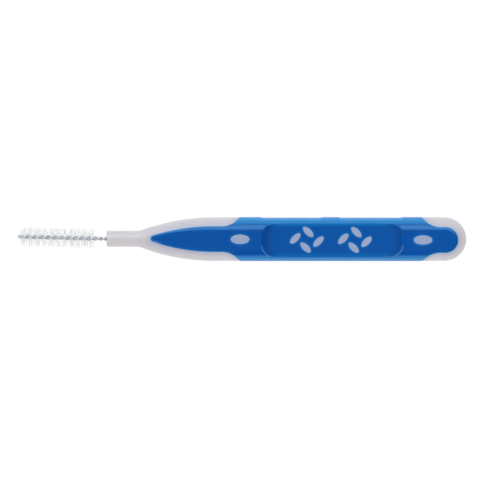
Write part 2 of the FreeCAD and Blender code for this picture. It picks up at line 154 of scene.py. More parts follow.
def node(tree, kind, *links, **settings):
    """A new node, with its settings and its inputs: each link is (input, socket or value)."""
    made = tree.nodes.new(kind)
    for key, value in settings.items():
        setattr(made, key, value)
    for key, source in links:
        if isinstance(source, bpy.types.NodeSocket):
            tree.links.new(source, made.inputs[key])
        else:
            made.inputs[key].default_value = source
    return made


def run_tree(piece, tree, values):
    """Let the tree build the piece, then keep the result as a plain mesh."""
    modifier = piece.modifiers.new(tree.name, "NODES")
    modifier.node_group = tree
    for item in tree.interface.items_tree:
        if item.in_out == "INPUT" and item.name in values:
            modifier[item.identifier] = values[item.name]
    bpy.context.view_layer.update()
    evaluated = piece.evaluated_get(bpy.context.evaluated_depsgraph_get())
    made = bpy.data.meshes.new_from_object(evaluated)
    piece.modifiers.clear()
    made.name = piece.name
    piece.data = made


def new_finish(name):
    """A material with its Principled shader, and the object's own coordinates."""
    finish = bpy.data.materials.new(name)
    finish.use_nodes = True
    shader = finish.node_tree.nodes["Principled BSDF"]
    where = finish.node_tree.nodes.new("ShaderNodeTexCoord").outputs["Object"]
    return finish, finish.node_tree, shader, where


def shader_group(name, inputs, outputs):
    group = bpy.data.node_groups.new(name, "ShaderNodeTree")
    for label, kind in inputs:
        tree_input(group, label, kind)
    for label in outputs:
        group.interface.new_socket(label, in_out="OUTPUT", socket_type="NodeSocketFloat")
    given = group.nodes.new("NodeGroupInput").outputs
    return group, given, group.nodes.new("NodeGroupOutput").inputs


def use_group(tree, group, *links):
    return node(tree, "ShaderNodeGroup", *links, node_tree=group).outputs


def blend(tree, share, first, second):
    """A colour between two others. Each is a socket, or red, green, blue and 1."""
    return node(tree, "ShaderNodeMix", ("Factor", share), ("A", first), ("B", second),
                data_type="RGBA").outputs["Result"]


def layer_of(tree, name):
    """The number that the mesh holds under this name."""
    return node(tree, "ShaderNodeAttribute", attribute_name=name).outputs["Fac"]


def roughen(tree, shader, grain, smoothest, roughest):
    gloss = node(tree, "ShaderNodeMapRange", ("Value", grain), ("To Min", smoothest),
                 ("To Max", roughest))
    tree.links.new(gloss.outputs["Result"], shader.inputs["Roughness"])


def emboss(tree, shader, grain, strength):
    """Fine relief, a hundredth of a millimetre deep at full strength."""
    relief = node(tree, "ShaderNodeBump", ("Height", grain), ("Strength", strength),
                  ("Distance", 0.01 * MM))
    tree.links.new(relief.outputs["Normal"], shader.inputs["Normal"])


steel, tree, shader, where = new_finish("drawn_steel")
die_lines = node(tree, "ShaderNodeTexNoise", ("Vector", where), ("Scale", 9000.0), ("Detail", 3.0))
tarnish = node(tree, "ShaderNodeTexNoise", ("Vector", where), ("Scale", 1400.0), ("Detail", 2.0))
shade = blend(tree, tarnish.outputs["Fac"], (0.62, 0.64, 0.66, 1), (0.76, 0.77, 0.78, 1))
# Painted shade: the steel is darker in the grooves between the strands, close to the wire's axis.
shade = blend(tree, layer_of(tree, "painted_groove_shade"), shade, (0.50, 0.51, 0.52, 1))
tree.links.new(shade, shader.inputs["Base Color"])
roughen(tree, shader, die_lines.outputs["Fac"], 0.42, 0.60)
emboss(tree, shader, die_lines.outputs["Fac"], 0.25)
shader.inputs["Metallic"].default_value = 0.4

sweep, given, made = new_tree("wire_sweep", (("Wire radius", "Float"), ("Sides", "Int"),
                                             ("Steel", "Material")))
line = node(sweep, "GeometryNodeMeshToCurve", ("Mesh", given.outputs["Base"]))
ring = node(sweep, "GeometryNodeCurvePrimitiveCircle", ("Resolution", given.outputs["Sides"]),
            ("Radius", given.outputs["Wire radius"]))
tube = node(sweep, "GeometryNodeCurveToMesh", ("Curve", line.outputs["Curve"]),
            ("Profile Curve", ring.outputs["Curve"]), ("Fill Caps", True))
smooth = node(sweep, "GeometryNodeSetShadeSmooth", (0, tube.outputs["Mesh"]))
real = node(sweep, "GeometryNodeRealizeInstances", ("Geometry", smooth.outputs[0]))
steeled = node(sweep, "GeometryNodeSetMaterial", ("Geometry", real.outputs[0]),
               ("Material", given.outputs["Steel"]))
sweep.links.new(steeled.outputs[0], made.inputs["Made"])


def add_layer(piece, name, values):
    """One number for every corner of the mesh, for its material to read."""
    layer = piece.data.attributes.new(name, "FLOAT", "POINT")
    layer.data.foreach_set("value", np.asarray(values, dtype=np.float32))


WIRE_SIDES = 14
# Where the painted shade in the grooves between the strands is full, and how far out it fades.
GROOVE_FLOOR, GROOVE_DEPTH = 0.10, 0.14         # from the axis, and from there to no shade at all
wire = plain_mesh("drawn_wire", route, [], [(i, i + 1) for i in range(len(route) - 1)])
run_tree(wire, sweep, {"Wire radius": WIRE_RADIUS * MM, "Sides": WIRE_SIDES, "Steel": steel})
swept = np.empty(3 * len(wire.data.vertices), np.float32)
wire.data.vertices.foreach_get("co", swept)
swept = (swept.reshape(-1, 3) - (MOUTH, 0, MIDDLE_UP)) / MM
from_axis = np.linalg.norm(swept - wire_axis(-swept[:, 0]), axis=1)
add_layer(wire, "painted_groove_shade", 1 - eased((from_axis - GROOVE_FLOOR) / GROOVE_DEPTH))
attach(wire, "root")
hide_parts("twisted_wire")


# ---- Bristles ------------------------------------------------------------------------------------
# Clear nylon filaments, laid between the wire's strands and nipped at their middles when the wire
# is twisted. They follow the twist, so they stand in eleven rings, and each ring fans out round
# the wire.

ROWS = 11
FILAMENTS = 50
HALF_BRISTLE = 1.585
SHORTEST_CUT = 0.97             # of the full length
FILAMENT_THICKNESS = 0.06
FAN = math.radians(68)          # how far a filament turns from the row's middle, either way
STRAY = 0.12                    # how far it leans along the wire, as a slope
TRIM_START = 13.1               # mouth to where the tip's rounded trim begins
TRIM_ROUND = 0.75

nylon, tree, shader, where = new_finish("clear_nylon")
milky = node(tree, "ShaderNodeTexNoise", ("Vector", where), ("Scale", 2500.0), ("Detail", 2.0))
tint = blend(tree, milky.outputs["Fac"], (0.80, 0.785, 0.795, 1), (0.88, 0.865, 0.875, 1))
tree.links.new(tint, shader.inputs["Base Color"])
roughen(tree, shader, milky.outputs["Fac"], 0.30, 0.50)
shader.inputs["IOR"].default_value = 1.3
shader.inputs["Alpha"].default_value = 0.12

tufts, given, made = new_tree("bristle_fan", (("Thickness", "Float"), ("Fan", "Float"),
                                              ("Stray", "Float"), ("Seed", "Int"),
                                              ("Nylon", "Material")))
lay = node(tufts, "GeometryNodeInputNamedAttribute", ("Name", "lay"), data_type="FLOAT_VECTOR")
axis = node(tufts, "GeometryNodeInputNamedAttribute", ("Name", "axis"), data_type="FLOAT_VECTOR")
half = node(tufts, "GeometryNodeInputNamedAttribute", ("Name", "half_length"), data_type="FLOAT")
least = node(tufts, "ShaderNodeMath", (0, given.outputs["Fan"]), (1, -1.0), operation="MULTIPLY")
fan = node(tufts, "FunctionNodeRandomValue", (2, least.outputs[0]), (3, given.outputs["Fan"]),
           ("Seed", given.outputs["Seed"]), data_type="FLOAT")
turned = node(tufts, "ShaderNodeVectorRotate", ("Vector", lay.outputs["Attribute"]),
              ("Axis", axis.outputs["Attribute"]), ("Angle", fan.outputs[1]))
second = node(tufts, "ShaderNodeMath", (0, given.outputs["Seed"]), (1, 31.0), operation="ADD")
back = node(tufts, "ShaderNodeMath", (0, given.outputs["Stray"]), (1, -1.0), operation="MULTIPLY")
stray = node(tufts, "FunctionNodeRandomValue", (2, back.outputs[0]), (3, given.outputs["Stray"]),
             ("Seed", second.outputs[0]), data_type="FLOAT")
slide = node(tufts, "ShaderNodeVectorMath", (0, axis.outputs["Attribute"]),
             ("Scale", stray.outputs[1]), operation="SCALE")
heading = node(tufts, "ShaderNodeVectorMath", (0, turned.outputs[0]), (1, slide.outputs[0]),
               operation="ADD")
aim = node(tufts, "FunctionNodeAlignRotationToVector", ("Vector", heading.outputs[0]), axis="Z")
third = node(tufts, "ShaderNodeMath", (0, given.outputs["Seed"]), (1, 77.0), operation="ADD")
cut_length = node(tufts, "FunctionNodeRandomValue", (2, SHORTEST_CUT), (3, 1.0),
                  ("Seed", third.outputs[0]), data_type="FLOAT")
length = node(tufts, "ShaderNodeMath", (0, half.outputs["Attribute"]), (1, cut_length.outputs[1]),
              operation="MULTIPLY")
stretch = node(tufts, "ShaderNodeCombineXYZ", ("X", given.outputs["Thickness"]),
               ("Y", given.outputs["Thickness"]), ("Z", length.outputs[0]))
filament = node(tufts, "GeometryNodeMeshCylinder", ("Vertices", 5), ("Side Segments", 2),
                ("Radius", 0.5), ("Depth", 2.0))
rounded = node(tufts, "GeometryNodeSetShadeSmooth", (0, filament.outputs["Mesh"]))
stand = node(tufts, "GeometryNodeInstanceOnPoints", ("Points", given.outputs["Base"]),
             ("Instance", rounded.outputs[0]), ("Rotation", aim.outputs[0]),
             ("Scale", stretch.outputs[0]))
real = node(tufts, "GeometryNodeRealizeInstances", ("Geometry", stand.outputs[0]))
nyloned = node(tufts, "GeometryNodeSetMaterial", ("Geometry", real.outputs[0]),
               ("Material", given.outputs["Nylon"]))
tufts.links.new(nyloned.outputs[0], made.inputs["Made"])

row_length = NIP_PITCH / 2
for row in range(ROWS):
    reach = FIRST_BRISTLE + row_length * (row + (np.arange(FILAMENTS) + 0.5) / FILAMENTS)
    tuft = plain_mesh(f"nylon_ring_{row + 1:02d}", wire_axis(reach), [])
    along = np.broadcast_to((-1, LEAN, 0), (FILAMENTS, 3))
    trimmed = np.clip((reach - TRIM_START) / (HAIRPIN - TRIM_START), 0, 1)
    half_length = HALF_BRISTLE * np.sqrt(1 - TRIM_ROUND * trimmed ** 2)
    for label, values, kind in (("lay", np.cross(along, strand_side(reach)), "FLOAT_VECTOR"),
                                ("axis", along, "FLOAT_VECTOR"),
                                ("half_length", half_length * MM, "FLOAT")):
        layer = tuft.data.attributes.new(label, kind, "POINT")
        layer.data.foreach_set("vector" if kind == "FLOAT_VECTOR" else "value",
                               np.ravel(values).astype(np.float32))
    run_tree(tuft, tufts, {"Thickness": FILAMENT_THICKNESS * MM, "Fan": FAN, "Stray": STRAY,
                           "Seed": row + 1, "Nylon": nylon})
    tuft.visible_shadow = False
    tuft.visible_diffuse = False
    tuft.visible_glossy = False
    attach(tuft, "root")
    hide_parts(f"bristle_row_{row + 1:02d}")


# ---- Handle core ---------------------------------------------------------------------------------
# The white handle, injection moulded in one shot round the wire's tail: a round neck that flares
# into a flat bar with full-round sides. It shows at the neck, the cheeks, the butt and through the
# grip's windows, and is recessed everywhere that the grip is moulded over it.

FLARE_LENGTH = 12.0
NECK_LENGTH = 5.2
FLARE_END = NECK_LENGTH + FLARE_LENGTH
FLARE_SOFT = 0.35               # length over which the flare's arc eases in at the neck
NECK_RETURN = 4                 # length past the neck over which it comes back to the middle line
BUTT_CENTRE = 54.2
HALF_WIDTH, HALF_THICKNESS = 3.5, 2.2
NECK_HALF_WIDTH, NECK_HALF_THICKNESS = 1.29, 1.2
MOUTH_ROUND = 0.17
SKIN = 0.8                      # depth that the grip takes out of the core


def soft_least(first, second, soft):
    mix = np.clip(0.5 + 0.5 * (second - first) / soft, 0, 1)
    return second + (first - second) * mix - soft * mix * (1 - mix)


def half_size(full, neck, along):
    """Half width or thickness: an arc that runs out level where the flare ends."""
    rise = full - neck
    radius = (FLARE_LENGTH ** 2 + rise ** 2) / (2 * rise)
    back = soft_least(np.maximum(FLARE_END - along, 0), FLARE_LENGTH, FLARE_SOFT)
    return full - radius + np.sqrt(radius ** 2 - back ** 2)


def on_handle(sheet, inset):
    """Points of one half of the bar. The sheet runs along the handle and round its section, and
    past the butt's centre it runs round the butt."""
    along = np.minimum(sheet[:, 0], BUTT_CENTRE)
    past = sheet[:, 0] - along
    out = np.maximum(np.hypot(past, sheet[:, 1]), 1e-9)
    half_width = half_size(HALF_WIDTH, NECK_HALF_WIDTH, along)
    half_thickness = half_size(HALF_THICKNESS, NECK_HALF_THICKNESS, along)
    flat = half_width - half_thickness
    turn = np.clip((out - flat) / half_thickness, 0, math.pi / 2)
    near = np.clip(MOUTH_ROUND - along, 0, MOUTH_ROUND)
    radius = half_thickness - inset - MOUTH_ROUND + np.sqrt(MOUTH_ROUND ** 2 - near ** 2)
    reach = np.where(out < flat, out, flat + radius * np.sin(turn))
    off = NECK_OFF * (1 - eased((along - NECK_LENGTH) / NECK_RETURN))
    return np.stack([along + past / out * reach, off + sheet[:, 1] / out * reach,
                     radius * np.cos(turn)], axis=-1)


def sheet_edge(along):
    """How far round the sheet goes, from the middle of a face to the middle of a side."""
    flat = half_size(HALF_WIDTH, NECK_HALF_WIDTH, along)
    round_ = half_size(HALF_THICKNESS, NECK_HALF_THICKNESS, along)
    return flat + round_ * (math.pi / 2 - 1)


CHEEK = 1.45                    # from the handle's edge to the grip's tongue
TONGUE = HALF_WIDTH - CHEEK
NOSE = 0.54
WRAP = 3.5                      # radius of the arcs by which the tongues widen to the full width
WRAP_FRONT = FLARE_END + 1.25
WRAP_REAR = 53.5
TONGUE_END = 54.27
TONGUE_RISE = 2.25              # of the arc that the front tongue's sides follow
SIDE_RADIUS = (FLARE_LENGTH ** 2 + TONGUE_RISE ** 2) / (2 * TONGUE_RISE) - CHEEK
NOSE_BACK = math.sqrt((SIDE_RADIUS - NOSE) ** 2 - (SIDE_RADIUS - TONGUE) ** 2)
NOSE_X = FLARE_END - NOSE_BACK
ASKEW_SLOPE, ASKEW_ABOUT = 0.0039, 38


def askew(x):
    """How far the second shot's tooling sits off the handle's middle line."""
    return ASKEW_SLOPE * (ASKEW_ABOUT - x)


def grip_outline(x, y):
    """Plan distance inside the grip's outline: a nosed tongue, full width, and a rear tongue."""
    y = np.abs(y - askew(x))
    nose = NOSE - np.hypot(x - NOSE_X, y)
    side = SIDE_RADIUS - np.hypot(x - FLARE_END, y + SIDE_RADIUS - TONGUE)
    at_nose = (x - NOSE_X) * (SIDE_RADIUS - TONGUE) + y * NOSE_BACK < 0
    front = np.where(at_nose, nose, np.where(x > FLARE_END, TONGUE - y, side))
    front = np.where(x > WRAP_FRONT, np.hypot(x - WRAP_FRONT, y - TONGUE - WRAP) - WRAP, front)
    rear = np.where(x > TONGUE_END, TONGUE - np.hypot(x - TONGUE_END, y), TONGUE - y)
    rear = np.where(x < WRAP_REAR, np.hypot(x - WRAP_REAR, y - TONGUE - WRAP) - WRAP, rear)
    return np.minimum(front, rear)


PAD_START, PAD_END = 24.8, 47.55
PAD_MIDDLE = (PAD_START + PAD_END) / 2 - 0.2
FLOWER_STEP = 3.85              # from the middle of the pad to each flower
PETAL_HALF_LENGTH, PETAL_HALF_WIDTH = 1.07, 0.50
ELLIPSE, PETAL_FULLNESS = 2.0, 1.88             # below an ellipse's 2, the ends are more pointed

# Each window: its middle, half length, half width, slant and fullness.
WINDOWS = [(21.4, 0.0, 1.49, 0.74, 0.0, ELLIPSE), (50.66, 0.0, 1.47, 0.73, 0.0, ELLIPSE)]
for flower in (PAD_MIDDLE - FLOWER_STEP, PAD_MIDDLE + FLOWER_STEP):
    for along, across, slant in ((-1.9, 0.13, 45), (1.82, -0.34, 45), (0.18, 1.2, -45),
                                 (-0.24, -1.3, -45)):
        WINDOWS.append((flower + along, across, PETAL_HALF_LENGTH, PETAL_HALF_WIDTH,
                        math.radians(slant), PETAL_FULLNESS))


def window_outline(window):
    x0, y0, half_length, half_width, slant, fullness = window

    def outline(x, y):
        across = y - y0 - askew(x0)
        a = (x - x0) * math.cos(slant) + across * math.sin(slant)
        b = across * math.cos(slant) - (x - x0) * math.sin(slant)
        ratio = np.abs(a / half_length) ** fullness + np.abs(b / half_width) ** fullness
        return half_width * (np.maximum(ratio, 1e-6) ** (1 / fullness) - 1)
    return outline


def skin_distance(outline, sheet):
    """Distance to an outline, measured round the handle's skin."""
    step = 0.02
    least_slope = 0.25

    def value(along, around):
        plan = on_handle(sheet + (along, around), 0)
        return outline(plan[:, 0], plan[:, 1])
    slope = np.hypot(value(step, 0) - value(-step, 0), value(0, step) - value(0, -step))
    return value(0, 0) / np.maximum(slope / (2 * step), least_slope)


def grip_distance(sheet):
    return skin_distance(grip_outline, sheet)


def window_distance(sheet):
    return np.min([skin_distance(window_outline(w), sheet) for w in WINDOWS], axis=0)


def cover_distance(sheet):
    """Above 0 under the grip, below 0 where the core shows."""
    return np.minimum(grip_distance(sheet), window_distance(sheet))


PAD_HALF = 2.68
PAD_CORNER = 2.0
PAD_FLOOR = 1.75
PAD_OFF = -0.16                 # the pad sits this far off the handle's middle line
LIP_LENGTH, LIP_SHARE = 0.45, 0.45              # the lip makes this share of the pad's depth
SCOOP_LENGTH = 1.9
RIM_SOFT = 0.05


def pad_outline(x, y):
    y = y - PAD_OFF
    over_x = np.abs(x - (PAD_START + PAD_END) / 2) - (PAD_END - PAD_START) / 2 + PAD_CORNER
    over_y = np.abs(y) - PAD_HALF + PAD_CORNER
    outside = np.hypot(np.maximum(over_x, 0), np.maximum(over_y, 0))
    return PAD_CORNER - outside - np.minimum(np.maximum(over_x, over_y), 0)


def pad_end_distance(x, y):
    """Along the handle, from the pad's rounded end."""
    corner = np.clip(np.abs(y - PAD_OFF) - PAD_HALF + PAD_CORNER, 0, PAD_CORNER)
    end = PAD_CORNER - np.sqrt(PAD_CORNER ** 2 - corner ** 2)
    return (PAD_END - PAD_START) / 2 - np.abs(x - (PAD_START + PAD_END) / 2) - end


def run_in(distance, length):
    share = np.clip(distance / length, 0, 1)
    return 1 - (1 - share) ** 2


def press_pad(points):
    """Sink the thumb pad: a short lip all round, and a long soft scoop at each end."""
    x, y, z = points.T
    inside = pad_outline(x, y)
    scoop = (LIP_SHARE * run_in(inside, LIP_LENGTH)
             + (1 - LIP_SHARE) * run_in(pad_end_distance(x, y), SCOOP_LENGTH))
    depth = np.where(inside > 0, (z - PAD_FLOOR) * scoop, inside)
    rounded = np.maximum(depth + RIM_SOFT, 0) ** 2 / (4 * RIM_SOFT)
    sunk = np.where(depth > RIM_SOFT, depth, rounded)
    return np.stack([x, y, z - sunk], axis=-1)


STATIONS = 272
COLUMNS = 28                    # on each side of the middle line
BUTT_STEPS = 60
stations = np.concatenate([MOUTH_ROUND * np.array([0, 0.1, 0.3, 0.6]),
                           np.linspace(MOUTH_ROUND, BUTT_CENTRE, STATIONS)])
sheet = bmesh.new()
rows = []
for along in stations:
    edge = sheet_edge(np.float64(along))
    rows.append([sheet.verts.new((along, edge * k / COLUMNS, 0))
                 for k in range(-COLUMNS, COLUMNS + 1)])
for near, far in zip(rows, rows[1:]):
    for k in range(2 * COLUMNS):
        sheet.faces.new((near[k], far[k], far[k + 1], near[k + 1]))
edge = sheet_edge(np.float64(BUTT_CENTRE))
fan = [rows[-1][COLUMNS::-1]]
for step in range(1, BUTT_STEPS):
    angle = math.pi * (step / BUTT_STEPS - 0.5)
    fan.append([rows[-1][COLUMNS]] + [
        sheet.verts.new((BUTT_CENTRE + edge * k / COLUMNS * math.cos(angle),
                         edge * k / COLUMNS * math.sin(angle), 0)) for k in range(1, COLUMNS + 1)])
fan.append(rows[-1][COLUMNS:])
for near, far in zip(fan, fan[1:]):
    sheet.faces.new((near[0], near[1], far[1]))
    for k in range(1, COLUMNS):
        sheet.faces.new((near[k], near[k + 1], far[k + 1], far[k]))


def score(level):
    """Cut the sheet's faces along the line where a function of the sheet is 0."""
    near_enough = 0.004
    sheet.verts.index_update()
    places = np.array([v.co[:2] for v in sheet.verts])
    values = level(places)
    on_line = {v for v, value in zip(sheet.verts, values) if abs(value) < near_enough}
    spans = [(e, values[e.verts[0].index], values[e.verts[1].index]) for e in sheet.edges]
    for span, first, last in spans:
        if first * last < 0 and not on_line.intersection(span.verts):
            on_line.add(bmesh.utils.edge_split(span, span.verts[0], first / (first - last))[1])
    for face in [f for f in sheet.faces if not on_line.isdisjoint(f.verts)]:
        ends = [v for v in face.verts if v in on_line]
        if len(ends) == 2 and not any(set(ends) == set(e.verts) for e in face.edges):
            bmesh.utils.face_split(face, *ends)


def plan_of(outline):
    def level(places):
        plan = on_handle(places, 0)
        return outline(plan[:, 0], plan[:, 1])
    return level


for depth in (-0.06, 0.0, 0.05, 0.11, 0.18, 0.27, 0.38):
    score(lambda places: cover_distance(places) - depth)
for depth in (-0.16, -0.09, -0.04, 0.0, 0.04, 0.08, 0.14, 0.25, 0.45):
    score(lambda places: plan_of(pad_outline)(places) - depth)

sheet.verts.index_update()
SHEET = np.array([v.co[:2] for v in sheet.verts])
COVER = cover_distance(SHEET)
FACES = [[v.index for v in f.verts] for f in sheet.faces]
face_middle = np.array([SHEET[f].mean(axis=0) for f in FACES])
UNDER_GRIP = cover_distance(face_middle) > 0
sheet.free()
out = np.hypot(np.maximum(SHEET[:, 0] - BUTT_CENTRE, 0), SHEET[:, 1])
ON_SIDE = out > sheet_edge(np.minimum(SHEET[:, 0], BUTT_CENTRE)) - 0.001
BELOW = np.where(ON_SIDE, np.arange(len(SHEET)), len(SHEET) + np.cumsum(~ON_SIDE) - 1)


def both_faces(values):
    """Values for the upper half's points, followed by those of its mirror image below."""
    return np.concatenate([values, values[~ON_SIDE]])


def both_sides(points):
    whole = both_faces(points)
    whole[len(points):, 2] *= -1
    return whole


def mirrored(faces):
    return faces + [[int(BELOW[v]) for v in reversed(f)] for f in faces]


def open_edges(faces):
    sides = {(a, b) for f in faces for a, b in zip(f, f[1:] + f[:1])}
    return [(a, b) for a, b in sides if (b, a) not in sides]


def only_used(points, faces, *layers):
    used = np.unique([v for f in faces for v in f])
    slot = np.zeros(len(points), dtype=int)
    slot[used] = np.arange(len(used))
    return points[used], [[int(slot[v]) for v in f] for f in faces], [l[used] for l in layers]


CORE_ROLL, CORE_ROLL_WIDTH = 0.02, 0.08         # of the core's edges beside the grip
bare = np.clip(-COVER, 0, None)
edge_roll = CORE_ROLL * np.clip(1 - bare / CORE_ROLL_WIDTH, 0, 1) ** 2
exposed = both_sides(press_pad(on_handle(SHEET, edge_roll)))
recessed = both_sides(on_handle(SHEET, SKIN))
shown = mirrored([f for f, under in zip(FACES, UNDER_GRIP) if not under])
hidden = mirrored([f for f, under in zip(FACES, UNDER_GRIP) if under])
count = len(exposed)
faces = shown + [[v + count for v in f] for f in hidden]
mouth_edges = {}
for a, b in open_edges(shown):
    if exposed[a][0] < 1e-6 and exposed[b][0] < 1e-6:
        mouth_edges[b] = a
    else:
        faces.append([b, a, a + count, b + count])
loop = [next(iter(mouth_edges))]
while mouth_edges[loop[-1]] != loop[0]:
    loop.append(mouth_edges[loop[-1]])
points = np.concatenate([exposed, recessed])
rim = exposed[loop][:, 1:] - (NECK_OFF, 0)
spoke = rim / np.linalg.norm(rim, axis=1)[:, None]
BORE, BORE_MOUTH = 0.355, 0.42                  # radius of the wire's hole, and of its soft edge
ring_before = loop

# Rings from the neck's rim, across its end and down the wire's hole: radius, depth and how much of
# the way from the rim's shape to a circle.
for radius, deep, share in ((BORE_MOUTH, 0.0, 0.35), (BORE_MOUTH, 0.0, 0.7), (BORE_MOUTH, 0.0, 1.0),
                            (0.385, 0.012, 1.0), (0.36, 0.05, 1.0), (BORE, 1.2, 1.0),
                            (BORE, WIRE_TAIL, 1.0)):
    ring = list(range(len(points), len(points) + len(loop)))
    flat_ring = rim * (1 - share) + spoke * radius * share + (NECK_OFF, 0)
    points = np.concatenate([points, np.column_stack([np.full(len(loop), deep), flat_ring])])
    for k in range(len(loop)):
        n = (k + 1) % len(loop)
        faces.append([ring_before[k], ring_before[n], ring[n], ring[k]])
    ring_before = ring
faces.append(ring_before)

# Painted blue light and shade that the grip throws on the white beside it, and most of all inside
# the windows.
CAST_NEAR, CAST_FAR = 0.35, 1.1                 # how fast it fades, close by and farther out
gap = np.minimum(grip_distance(SHEET), 0)
grip_near = 0.6 * np.exp(gap / CAST_NEAR) + 0.4 * np.exp(gap / CAST_FAR)
in_window = window_distance(SHEET) < 0.02
cast = both_faces(np.where(in_window, 1.0, 0.75 * grip_near))
cast = np.concatenate([cast, cast, np.zeros(len(points) - 2 * count)])
points, faces, (cast,) = only_used(points, faces, cast)
SHARP = math.radians(48)
core = plain_mesh("moulded_core", points, faces)
core.data.shade_smooth()
core.data.set_sharp_from_angle(angle=SHARP)
add_layer(core, "blue_cast", cast)

grain, given, made = shader_group("moulded_grain", (("Where", "Vector"), ("Scale", "Float")),
                                  ("Grain", "Flow"))
fine = node(grain, "ShaderNodeTexNoise", ("Vector", given["Where"]), ("Scale", given["Scale"]),
            ("Detail", 4.0), ("Roughness", 0.6))
stretch = node(grain, "ShaderNodeMapping", ("Vector", given["Where"]), ("Scale", (0.25, 1, 1)))
streak = node(grain, "ShaderNodeTexNoise", ("Vector", stretch.outputs[0]), ("Scale", 420.0),
              ("Detail", 2.0))
grain.links.new(fine.outputs["Fac"], made["Grain"])
grain.links.new(streak.outputs["Fac"], made["Flow"])

white, tree, shader, where = new_finish("white_moulded_plastic")
skin = use_group(tree, grain, ("Where", where), ("Scale", 5200.0))
milk = blend(tree, skin["Flow"], (0.885, 0.83, 0.845, 1), (0.915, 0.865, 0.88, 1))
# Painted blue light and shade from the grip, read from the blue_cast layer.
milk = blend(tree, layer_of(tree, "blue_cast"), milk, (0.48, 0.55, 0.80, 1))
tree.links.new(milk, shader.inputs["Base Color"])
roughen(tree, shader, skin["Grain"], 0.34, 0.48)
emboss(tree, shader, skin["Grain"], 0.15)
shader.inputs["Subsurface Weight"].default_value = 0.25
shader.inputs["Subsurface Radius"].default_value = (1.0, 0.9, 0.9)
shader.inputs["Subsurface Scale"].default_value = 0.0006
core.data.materials.append(white)
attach(core, "root")
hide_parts("handle_core")


# ---- Grip sleeve ---------------------------------------------------------------------------------
# The blue thermoplastic elastomer, moulded over the core in a second shot: two tongues joined by a
# full-width middle, with a thumb pad pressed into each face. It stands a little proud of the core,
# with soft edges round its outline and round its windows.

STAND = 0.05
SIDE_RELIEF = 0.1               # the grip's gated side is let in beside the pad, round its gate
RELIEF_START, RELIEF_END = 24.6, 47.5
GATE_START, GATE_END = 34.4, 37.4


def relieve_side(points):
    x, y, z = points.T
    beside = eased((x - RELIEF_START) / 0.3) * eased((RELIEF_END - x) / 0.3)
    gate = eased((x - GATE_START) / 0.2) * eased((GATE_END - x) / 0.2)
    on_side = eased((y / (HALF_WIDTH + STAND) - 0.84) / 0.14)
    let_in = SIDE_RELIEF * beside * (1 - gate) * on_side
    return np.stack([x, y - let_in, z], axis=-1)


def edge_fall(inside, depth, width):
    """How far a rounded edge has fallen: its whole depth at the outline, and 0 a width inside."""
    return depth * (1 - np.sqrt(1 - np.clip(1 - inside / width, 0, 1) ** 2))


outer_roll = edge_fall(grip_distance(SHEET), depth=0.07, width=0.36)
window_roll = edge_fall(window_distance(SHEET), depth=0.06, width=0.18)
skin_top = press_pad(on_handle(SHEET, np.maximum(outer_roll, window_roll) - STAND))
skin_top = both_sides(relieve_side(skin_top))
skin_foot = both_sides(on_handle(SHEET, SKIN))
faces = mirrored([f for f, under in zip(FACES, UNDER_GRIP) if under])
count = len(skin_top)
walls = [[b, a, a + count, b + count] for a, b in open_edges(faces)]
faces = faces + [[v + count for v in reversed(f)] for f in faces] + walls


def peak_at(distance, width):
    """1 where the distance is 0, and less to either side of it."""
    return np.exp(-(distance / width) ** 2)


plan_x, plan_y = on_handle(SHEET, -STAND)[:, :2].T
across = np.abs(plan_y)
in_pad = pad_outline(plan_x, plan_y)
in_end = pad_end_distance(plan_x, plan_y)
front_half = plan_x < PAD_MIDDLE

# Paler where the elastomer is thin, at its edges. Along the pad's long sides the paleness is
# painted light, stronger on the +y side than on the -y side.
EDGE_REACH, LONG_SIDE_REACH = 0.13, 0.4
long_side = peak_at(np.minimum(across - PAD_HALF, 0), LONG_SIDE_REACH) * eased(in_end / 1.5)
painted_rim_light = np.where(plan_y > 0, 0.8, 0.3) * long_side
thin_edge_and_rim_light = np.maximum(np.exp(-np.maximum(COVER, 0) / EDGE_REACH),
                       np.where(in_pad > 0, 0.05 + painted_rim_light, 0))

# Painted light: paler down the full-round sides, outside the pad, a little less on the -y side.
outer = np.where(plan_y > 0, across, across - 0.13)
side_light = 0.65 * eased((outer - 2.25) / 0.4) + 0.35 * eased((outer - 2.6) / 0.8)
side_light = np.where(in_pad > 0, 0, side_light) * np.where(plan_y > 0, 1, 0.9)

# Painted shade in the scoops at the pad's ends, deeper in the front one.
painted_scoop_shade = np.where(front_half, 0.8, 0.55) * eased(in_pad / 0.6) * peak_at(in_end - 0.5, 0.8)

# Painted highlights: pale lines on the pad's rim at two corners, and on one side of the front
# tongue's nose.
corner = eased((-plan_y - 0.8) / 0.5) * eased((2.82 + plan_y) / 0.2)
RIM_LINE, NOSE_LINE = 0.055, 0.08               # half widths of the pale lines
painted_glint = 0.8 * peak_at(in_pad - np.where(front_half, 0.03, 0.1), RIM_LINE) * corner
painted_glint = painted_glint * (in_end < SCOOP_LENGTH)
on_nose = eased((plan_x - 7.2) / 0.6) * eased((9.3 - plan_x) / 1.4) * (plan_y < 0)
painted_glint = np.maximum(painted_glint, 0.7 * peak_at(COVER - 0.2, NOSE_LINE) * on_nose)

layers = [np.concatenate([both_faces(layer)] * 2)
          for layer in (thin_edge_and_rim_light, side_light, painted_scoop_shade, painted_glint)]
points, faces, layers = only_used(np.concatenate([skin_top, skin_foot]), faces, *layers)
grip = plain_mesh("elastomer_grip", points, faces)
grip.data.shade_smooth()
grip.data.set_sharp_from_angle(angle=SHARP)
for name, layer in zip(("thin_edge_and_rim_light", "side_light", "painted_scoop_shade", "painted_glint"), layers):
    add_layer(grip, name, layer)

